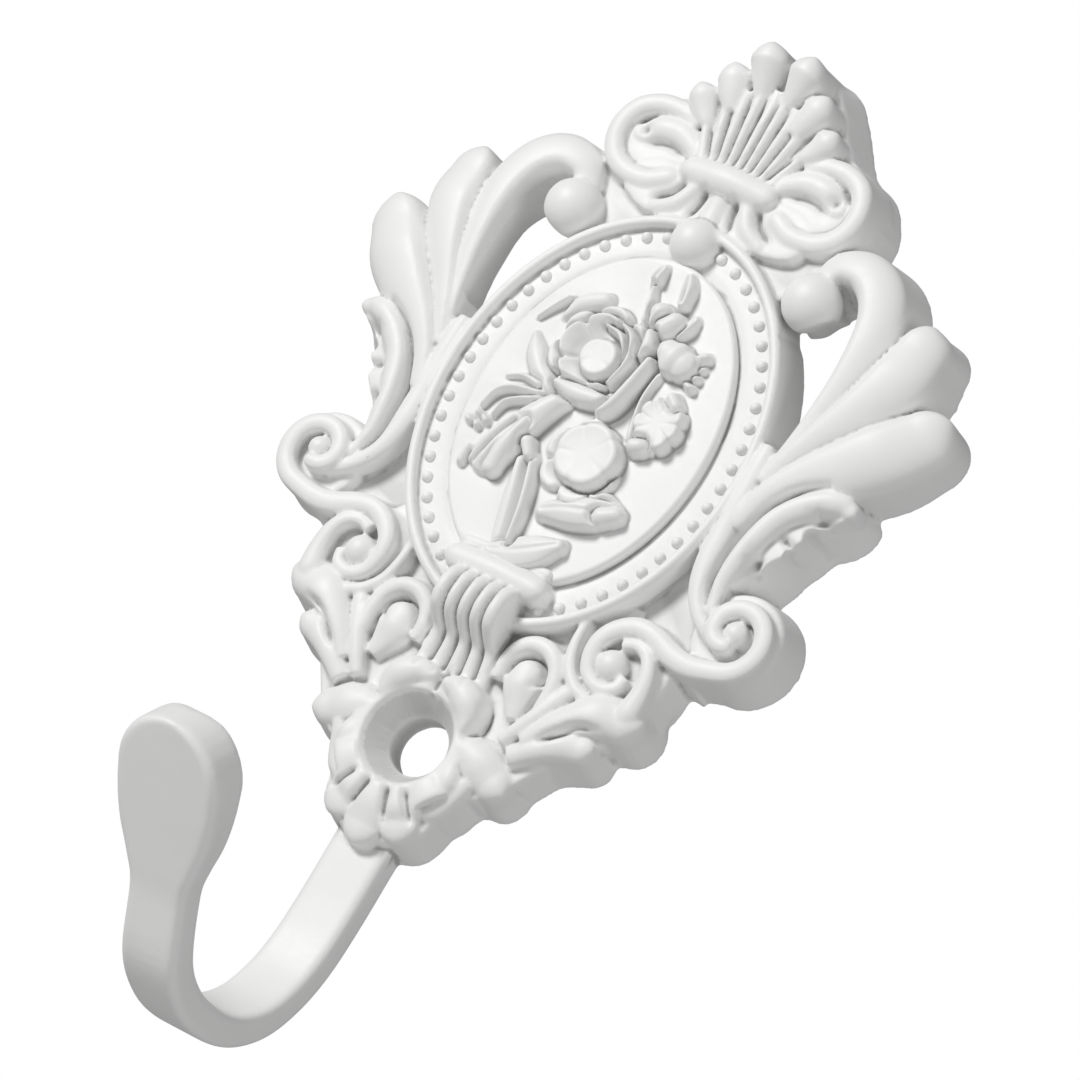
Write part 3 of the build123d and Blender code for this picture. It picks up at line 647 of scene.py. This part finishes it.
class Relief:
    # height of the oval field over a grid that follows the ellipse; forms are laid on it from the bottom up
    def __init__(self):
        u, v = np.meshgrid(np.linspace(-1, 1, cameo["columns"]), np.linspace(-1, 1, cameo["rows"]))
        a = oval["a"] - oval["fieldIn"]
        b = oval["b"] - oval["fieldIn"]
        self.x = a * u * np.sqrt(1 - v ** 2 / 2)
        self.z = oval["z"] + b * v * np.sqrt(1 - u ** 2 / 2)
        self.inside = (1 - np.hypot(self.x / a, (self.z - oval["z"]) / b)) * 0.5 * (a + b)
        self.high = np.full(self.x.shape, float(oval["fieldHigh"]))

    def lay(self, inside, high, moat=None):
        floor = oval["fieldHigh"]
        moat = cameo["moat"] if moat is None else moat
        beside = np.where(inside < 0, np.exp(-(inside / 0.3) ** 2), 1.0)
        self.high = floor + (self.high - floor) * (1 - moat * beside)
        wall = np.clip(inside / cameo["wall"] + 0.5, 0, 1)
        self.high += (high - self.high) * wall * wall * (3 - 2 * wall)

    def blade(self, rows, dome=0.45, vein=0.0, moat=None):
        # leaf, stem or petal along a soft line; rows are x, z, half width, height
        off, (wide, high) = nearLine(self.x, self.z, rows)[::2]
        across = np.clip(np.abs(off) / np.maximum(wide, 0.05), 0, 1)
        self.lay(wide - np.abs(off), high - dome * across ** 2 - vein * np.exp(-(off / 0.2) ** 2), moat)

    def bloom(self, cx, cz, radius, petals, start, low, high, notch=0.2, crease=0.35, wide=1.0, power=2.0, moat=None):
        # cupped petals: the height runs from the heart to a scalloped lip
        dx = (self.x - cx) / wide
        dz = self.z - cz
        away = np.hypot(dx, dz)
        wave = np.abs(np.sin(0.5 * petals * (np.arctan2(dz, dx) - radians(start))))
        edge = radius * (1 - notch * (1 - wave ** 0.6))
        part = np.clip(away / edge, 0, 1)
        form = low + (high - low) * part ** power - crease * np.exp(-(wave / 0.25) ** 2) * part ** 2
        self.lay(edge - away, form - 0.25 * np.clip((part - 0.8) / 0.2, 0, 1) ** 2, moat)

    def finished(self):
        # draws the heights out, rounds the field's edge and softens the whole
        edge = np.clip(self.inside / 0.4, 0, 1)
        high = oval["fieldHigh"] + cameo["rise"] * (self.high - oval["fieldHigh"])
        high -= 0.35 * (1 - np.sqrt(1 - (1 - edge) ** 2))
        for again in range(cameo["soften"]):
            padded = np.pad(high, 1, mode="edge")
            high = (padded[:-2, 1:-1] + padded[2:, 1:-1] + padded[1:-1, :-2] + padded[1:-1, 2:] + 4 * high) / 8
        return high


def bouquet():
    r = Relief()
    # leaves and stems that lie lowest
    r.blade([(-10.2, 41.0, 0.22, 6.7), (-9.1, 42.6, 0.3, 6.8), (-8.1, 43.8, 0.42, 6.9)], moat=0.2)
    r.blade([(-7.6, 42.2, 0.5, 6.7), (-6.6, 43.9, 0.9, 6.9), (-4.6, 44.9, 0.8, 7.0)], dome=0.3)
    r.blade([(-9.6, 39.6, 0.3, 6.6), (-8.2, 37.6, 1.0, 6.9), (-5.4, 35.0, 0.9, 7.0)], dome=0.3)
    r.blade([(-0.9, 49.9, 0.45, 7.0), (-0.9, 48.7, 0.62, 7.2), (-0.7, 47.6, 0.35, 7.0)], vein=0.3)
    r.blade([(-0.7, 47.8, 0.3, 6.9), (-0.2, 46.2, 0.5, 7.0), (0.5, 44.0, 0.5, 7.1)])
    r.blade([(2.0, 50.0, 0.5, 7.0), (2.6, 48.9, 0.75, 7.2), (2.9, 47.4, 0.6, 7.2)], vein=0.3)
    r.blade([(4.9, 46.4, 0.45, 7.0), (4.6, 45.4, 0.7, 7.2), (3.9, 44.2, 0.5, 7.2)], vein=0.25)
    r.blade([(-10.6, 31.0, 0.3, 6.8), (-9.9, 32.8, 0.36, 6.9), (-8.3, 33.8, 0.4, 7.0), (-5.6, 34.1, 0.5, 7.1)],
            moat=0.4)
    r.blade([(-9.0, 30.6, 0.28, 6.8), (-8.5, 32.1, 0.34, 6.9), (-7.0, 33.0, 0.36, 7.0), (-5.0, 33.6, 0.5, 7.1)],
            moat=0.4)
    r.blade([(-9.9, 34.6, 0.2, 6.7), (-8.2, 35.2, 0.3, 6.8), (-6.2, 34.9, 0.4, 7.0)], moat=0.3)
    for dx, dz in [(0.0, 0.0), (0.9, -0.3), (0.3, -1.0), (-0.7, -0.8)]:
        r.blade([(-10.5 + dx, 30.3 + dz, 0.4, 6.8), (-10.2 + dx, 30.1 + dz, 0.4, 6.8)], dome=0.3)
    r.blade([(-3.9, 27.8, 0.6, 6.8), (-2.9, 24.4, 0.9, 6.8), (-2.0, 21.0, 0.9, 6.7), (-1.5, 19.2, 0.7, 6.7)],
            moat=0.3)
    r.blade([(4.6, 41.0, 0.4, 6.8), (4.2, 38.0, 0.42, 6.8), (4.6, 35.2, 0.42, 6.8), (5.4, 33.0, 0.4, 6.8)])
    # fringed bell at the right
    for i in range(4):
        r.blade([(5.4, 42.1, 0.9, 7.3), (6.9, 42.0 + 0.5 * (i - 1.5), 0.75, 7.2),
                 (8.0, 41.9 + 1.05 * (i - 1.5), 0.55, 7.0)], dome=0.5, moat=0.8)
    r.blade([(6.2, 41.9, 1.5, 7.4), (5.4, 42.1, 1.8, 7.6), (4.5, 42.4, 1.4, 7.5)], dome=0.4)
    # heart-shaped bud on top
    r.blade([(1.5, 45.7, 1.1, 7.4), (2.2, 44.9, 1.45, 7.6)], dome=0.5)
    r.blade([(3.4, 45.4, 1.0, 7.4), (2.8, 44.4, 1.1, 7.5)], dome=0.5, moat=0.5)
    # bottom leaves
    r.blade([(-1.8, 18.8, 0.7, 6.9), (0.6, 19.4, 1.5, 7.1), (2.7, 20.4, 1.5, 7.2), (4.5, 21.6, 0.75, 7.1)],
            dome=0.3, vein=0.1)
    r.blade([(3.4, 26.8, 0.9, 7.0), (5.6, 27.2, 1.0, 7.2), (7.6, 26.9, 0.7, 7.1)], dome=0.35)
    r.blade([(1.3, 24.1, 0.9, 7.2), (3.4, 24.9, 1.5, 7.4), (5.6, 25.5, 1.5, 7.4), (7.6, 26.3, 1.15, 7.3)],
            dome=0.35, vein=0.12)
    r.blade([(7.0, 25.7, 0.9, 7.3), (8.2, 26.4, 0.8, 7.2)], dome=0.35, moat=0.4)
    # main stem
    r.blade([(-2.8, 28.6, 0.42, 7.0), (-1.6, 26.0, 0.46, 7.2), (-0.8, 23.2, 0.46, 7.2), (-0.35, 20.2, 0.4, 7.1)],
            moat=0.8)
    # drooping trumpet at the left
    r.blade([(-7.0, 26.9, 1.9, 7.1), (-6.2, 28.6, 1.75, 7.4), (-5.2, 31.0, 1.5, 7.4), (-3.9, 33.3, 1.15, 7.3),
             (-2.6, 35.0, 0.8, 7.2)], dome=0.45)
    r.blade([(-8.6, 26.2, 0.6, 6.9), (-7.6, 28.6, 0.55, 7.2), (-6.3, 31.0, 0.4, 7.3)], dome=0.3, moat=0.3)
    r.blade([(-6.0, 25.9, 0.85, 7.2), (-5.7, 28.2, 0.75, 7.4), (-4.9, 31.0, 0.5, 7.4)], dome=0.3, moat=0.3)
    r.blade([(-9.4, 26.7, 0.45, 6.9), (-9.5, 25.4, 0.5, 6.8)], dome=0.3)
    r.blade([(-3.9, 29.4, 0.7, 7.2), (-3.2, 28.4, 0.6, 7.1)], dome=0.3)
    # right flower with a scalloped edge and two loose petals
    r.bloom(7.3, 35.8, 2.95, 9, 12, 7.15, 7.3, notch=0.14, crease=0.2, wide=0.84, power=3.0)
    r.blade([(6.2, 33.0, 0.85, 7.3), (6.8, 33.2, 0.8, 7.3)], dome=0.4)
    r.blade([(7.2, 38.6, 0.7, 7.2), (8.0, 38.0, 0.6, 7.2)], dome=0.35, moat=0.4)
    # the rose: two rings of cupped petals, turned inner petals and the heart
    r.bloom(-2.1, 39.7, 5.1, 7, 20, 6.3, 7.25, notch=0.2, crease=0.5)
    r.bloom(-2.3, 39.8, 3.9, 5, 65, 6.3, 7.6, notch=0.14, crease=0.45, moat=0.9)
    r.blade([(-0.9, 43.1, 0.3, 7.4), (0.8, 42.0, 0.42, 7.7), (1.6, 39.9, 0.44, 7.7), (0.9, 37.4, 0.35, 7.5)],
            dome=0.25, moat=0.9)
    r.blade([(-2.4, 42.5, 0.25, 7.4), (-0.3, 41.9, 0.36, 7.6), (0.6, 39.9, 0.36, 7.6), (0.0, 37.8, 0.3, 7.5)],
            dome=0.25, moat=0.9)
    r.bloom(-1.55, 39.3, 2.05, 3, 100, 7.35, 7.4, notch=0.06, crease=0.06, moat=1.0)
    # leaf and stem that pass under the rose
    r.blade([(1.9, 43.4, 0.5, 7.4), (2.4, 42.2, 0.7, 7.5), (2.3, 41.0, 0.45, 7.4)], dome=0.3, moat=0.9)
    r.blade([(-4.4, 35.8, 0.5, 7.1), (-2.0, 35.5, 0.95, 7.3), (0.6, 35.7, 0.75, 7.3)], dome=0.35, moat=0.8)
    r.blade([(3.2, 41.0, 0.5, 7.3), (2.9, 38.4, 0.6, 7.5), (2.2, 35.8, 0.62, 7.5), (1.2, 34.4, 0.5, 7.3)], moat=0.9)
    # lower flower: loose outer petals and a broad flat cup
    r.bloom(2.0, 29.9, 4.3, 6, 15, 6.4, 6.95, notch=0.22, crease=0.4)
    r.bloom(2.6, 30.4, 3.3, 5, 50, 7.35, 7.5, notch=0.07, crease=0.06, power=3.0, moat=1.0)
    return r


def cameoPiece():
    r = bouquet()
    high = r.finished()
    rows, columns = high.shape
    spots = np.stack([r.x, -high, r.z], axis=2).reshape(-1, 3)
    faces = []
    for j in range(rows - 1):
        start = j * columns
        faces += [(start + i, start + i + 1, start + columns + i + 1, start + columns + i)
                  for i in range(columns - 1)]
    # a skirt runs from the field's edge down into the band, with a floor under it
    rim = list(range(columns)) + [j * columns + columns - 1 for j in range(1, rows)]
    rim += [(rows - 1) * columns + i for i in range(columns - 2, -1, -1)]
    rim += [j * columns for j in range(rows - 2, 0, -1)]
    skirt = spots[rim].copy()
    skirt[:, 1] = -(oval["bandHigh"] - 0.8)
    first = len(spots)
    count = len(rim)
    faces += [(rim[k], first + k, first + (k + 1) % count, rim[(k + 1) % count]) for k in range(count)]
    faces.append(tuple(first + k for k in range(count)))
    data = bpy.data.meshes.new("cameoRelief")
    data.from_pydata(np.vstack([spots, skirt]).tolist(), [], faces)
    data.update()
    return newPiece("cameoRelief", data)


cameoRelief = cameoPiece()

pieces = [hook, beads, cameoRelief]

# settings of the painted shade in grooves and in the screw hole
shading = {
    "reach": 12,          # passes of averaging that a spot is held against
    "even": 0.3,          # value of a flat place
    "depth": 0.28,        # mm below its surroundings that add 1 to the value
    "bore": 0.28,         # painted shade added in the screw hole
}


def shadeFromHollows(piece):
    # how deep each spot lies between its neighbours, from 0 on a crest to 1 in a groove, kept with the mesh as the
    # amount of painted shade
    spots = places(piece)
    links = neighbours(piece)
    normals = np.zeros(len(spots) * 3)
    piece.data.vertices.foreach_get("normal", normals)
    soft = spots.copy()
    for again in range(shading["reach"]):
        for k in range(3):
            soft[:, k] = 0.4 * soft[:, k] + 0.6 * averaged(soft[:, k], links)
    deep = ((soft - spots) * normals.reshape(-1, 3)).sum(axis=1)
    # more painted shade on the wall inside the screw hole
    inBore = (np.hypot(spots[:, 0], spots[:, 2]) < screwHole["shadeRadius"]) & (-spots[:, 1] < screwHole["shadeHigh"])
    value = np.clip(shading["even"] + deep / shading["depth"] + shading["bore"] * inBore, 0, 1)
    kept = piece.data.attributes.new("paintedShade", "FLOAT", "POINT")
    kept.data.foreach_set("value", value.astype(np.float32))


for piece in pieces:
    shadeFromHollows(piece)
    spots = places(piece) * 0.001
    spots[:, 1] = np.minimum(spots[:, 1], 0.0)
    setPlaces(piece, spots)
    piece.data.polygons.foreach_set("use_smooth", np.ones(len(piece.data.polygons), bool))
    print("  ", piece.name, sum(len(p.vertices) - 2 for p in piece.data.polygons), "triangles")

print("paint")


class Wire:
    def __init__(self, tree, socket=None):
        self.tree = tree
        self.socket = socket

    def node(self, kind, settings=None, inputs=None, output=0):
        made = self.tree.nodes.new(kind)
        for key, value in (settings or {}).items():
            setattr(made, key, value)
        for key, value in (inputs or {}).items():
            if isinstance(value, Wire):
                self.tree.links.new(value.socket, made.inputs[key])
            else:
                made.inputs[key].default_value = value
        return Wire(self.tree, made.outputs[output] if len(made.outputs) else None)

    def math(self, kind, first, second):
        return self.node("ShaderNodeMath", {"operation": kind}, {0: first, 1: second})

    def __add__(self, other):
        return self.math("ADD", self, other)

    def __radd__(self, other):
        return self.math("ADD", other, self)

    def __sub__(self, other):
        return self.math("SUBTRACT", self, other)

    def __rsub__(self, other):
        return self.math("SUBTRACT", other, self)

    def __mul__(self, other):
        return self.math("MULTIPLY", self, other)

    def __rmul__(self, other):
        return self.math("MULTIPLY", other, self)


def emptyTree(owner):
    # the node tree of a material or of the world, cleared
    owner.use_nodes = True
    owner.node_tree.nodes.clear()
    return Wire(owner.node_tree)


whitePaint = {
    "white": (0.87, 0.87, 0.865, 1),
    "shade": (0.83, 0.828, 0.82, 1),
    # painted shade: the colour laid into grooves and into the screw hole
    "groove": (0.42, 0.42, 0.41, 1),
    "grooveShadeFrom": 0.35,   # value where the painted shade in the grooves begins
    "roughness": 0.5,
    "roughnessSpread": 0.12,
    "waves": 180.0,       # scale of the paint's broad unevenness
    "bump": 0.1,
    "bumpHigh": 0.0004,
}


def paintMaterial():
    p = whitePaint
    material = bpy.data.materials.new("whitePaint")
    base = emptyTree(material)
    place = base.node("ShaderNodeTexCoord", output=3)
    broad = base.node("ShaderNodeTexNoise", {}, {"Vector": place, "Scale": p["waves"], "Detail": 3.0})
    fine = base.node("ShaderNodeTexNoise", {}, {"Vector": place, "Scale": p["waves"] * 9, "Detail": 2.0})
    height = broad * 0.8 + fine * 0.2
    bump = base.node("ShaderNodeBump", {}, {"Strength": p["bump"], "Distance": p["bumpHigh"], "Height": height})
    # a colour Mix has its factor at socket 0 and its colours at 6 and 7
    plain = base.node("ShaderNodeMix", {"data_type": "RGBA"}, {0: broad, 6: p["white"], 7: p["shade"]}, output=2)
    # painted shade: grooves and the screw hole get the darker colour, by the amount kept with the mesh
    paintedShade = base.node("ShaderNodeAttribute", {"attribute_name": "paintedShade"}, output="Fac")
    deep = base.node("ShaderNodeMapRange", {"interpolation_type": "SMOOTHSTEP"},
                     {0: paintedShade, 1: p["grooveShadeFrom"], 2: 1.0, 3: 0.0, 4: 1.0})
    colour = base.node("ShaderNodeMix", {"data_type": "RGBA"}, {0: deep, 6: plain, 7: p["groove"]}, output=2)
    roughness = fine * p["roughnessSpread"] + (p["roughness"] - p["roughnessSpread"] / 2)
    shader = base.node("ShaderNodeBsdfPrincipled", {},
                       {"Base Color": colour, "Roughness": roughness, "Normal": bump, "IOR": 1.5})
    base.node("ShaderNodeOutputMaterial", {}, {"Surface": shader})
    return material


paint = paintMaterial()
for piece in pieces:
    piece.data.materials.clear()
    piece.data.materials.append(paint)
    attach(piece, "root")
    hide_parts("coat_hook")

print("room")
room = {                  # in metres and watts
    "floorLow": -0.45,
    "floorHalf": 1.2,
    "floorColour": (0.72, 0.72, 0.72, 1),
    "world": 0.22,        # light of the surroundings; the camera sees them white
    "aim": (0, 0, 0.03),
    "key": {"place": (-0.5, -0.9, 0.45), "size": 0.3, "power": 8.9},
    "fill": {"place": (1.6, -0.7, 0.0), "size": 0.8, "power": 7.0},
}


def plainMaterial(name, colour):
    material = bpy.data.materials.new(name)
    base = emptyTree(material)
    shader = base.node("ShaderNodeBsdfPrincipled", {}, {"Base Color": colour, "Roughness": 0.9})
    base.node("ShaderNodeOutputMaterial", {}, {"Surface": shader})
    return material


def makeRoom():
    floorData = bpy.data.meshes.new("floor")
    s, low = room["floorHalf"], room["floorLow"]
    floorData.from_pydata([(-s, -s, low), (s, -s, low), (s, s, low), (-s, s, low)], [], [(0, 1, 2, 3)])
    floor = newPiece("paleFloor", floorData)
    floorData.materials.append(plainMaterial("paleFloor", room["floorColour"]))
    world = bpy.data.worlds.new("studio")
    bpy.context.scene.world = world
    base = emptyTree(world)
    seen = base.node("ShaderNodeLightPath", output="Is Camera Ray")
    level = seen * (1.0 - room["world"]) + room["world"]
    light = base.node("ShaderNodeBackground", {}, {"Color": (1, 1, 1, 1), "Strength": level})
    base.node("ShaderNodeOutputWorld", {}, {"Surface": light})


def lamp(name, place, size, power):
    data = bpy.data.lights.new(name, "AREA")
    data.shape = "DISK"
    data.size = size
    data.energy = power
    item = newPiece(name, data)
    item.location = place
    item.rotation_euler = (Vector(room["aim"]) - Vector(place)).to_track_quat("-Z", "Y").to_euler()


makeRoom()
lamp("keyLamp", **room["key"])
lamp("fillLamp", **room["fill"])

view = {
    "lens": 176.66,
    "place": (0.24592, -0.41762, -0.06792),
    "right": (0.78927, 0.35967, 0.49768),
    "up": (-0.35456, -0.39479, 0.84760),
    "back": (0.50133, -0.84545, -0.18407),
}
cameraData = bpy.data.cameras.new("camera")
cameraData.lens = view["lens"]
cameraData.sensor_width = 36
cameraData.sensor_fit = "HORIZONTAL"
cameraData.clip_start = 0.01
camera = newPiece("camera", cameraData)
turned = Matrix([view[side] for side in ("right", "up", "back")]).transposed().to_4x4()
camera.matrix_world = Matrix.Translation(view["place"]) @ turned
bpy.context.scene.camera = camera
bpy.context.scene.view_settings.view_transform = "Standard"
